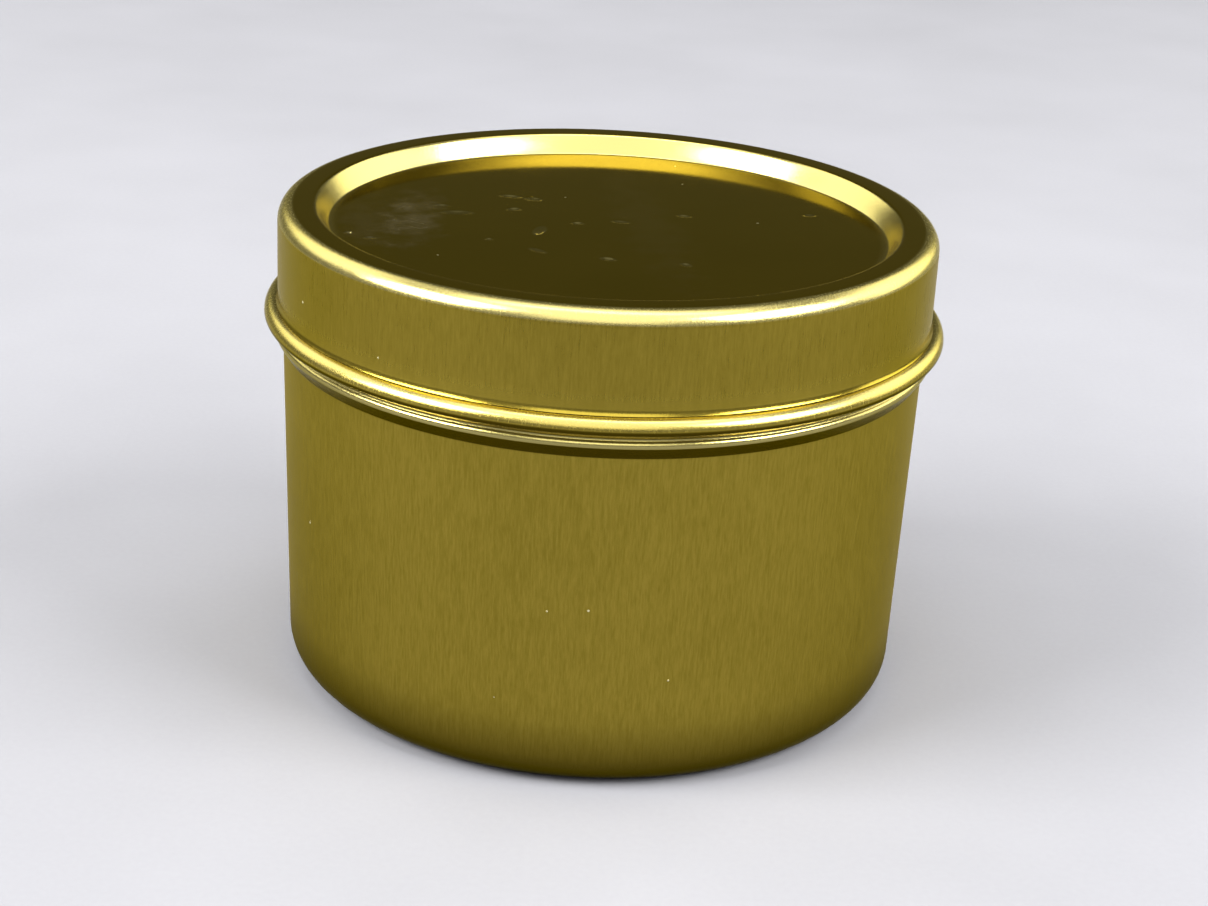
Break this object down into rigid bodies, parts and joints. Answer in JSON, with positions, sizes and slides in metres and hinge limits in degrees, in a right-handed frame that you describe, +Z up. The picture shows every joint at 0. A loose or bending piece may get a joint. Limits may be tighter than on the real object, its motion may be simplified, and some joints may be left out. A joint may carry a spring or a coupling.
{
  "type": "candle tin",
  "caption": "Round seamless metal candle tin with a slip-on lid; the skirt drops over the neck and stops on a raised bead.",
  "frame": {"origin": "centre of the base, on the surface the tin stands on", "axes": "+Z up along the tin's axis, the way the lid lifts; X and Y are alike because the tin is round"},
  "size_m": [0.08, 0.08, 0.0565],
  "materials": {
    "body_gold": "satin",
    "lid_gold": "satin"
  },
  "bodies": {
    "tin": {"tin_body": "body_gold"},
    "lid": {"lid": "lid_gold"}
  },
  "joints": [
    {"name": "lid_lift", "type": "slide", "parent": "tin", "child": "lid", "axis": [0, 0, 1], "range_m": [0, 0.06]}
  ]
}
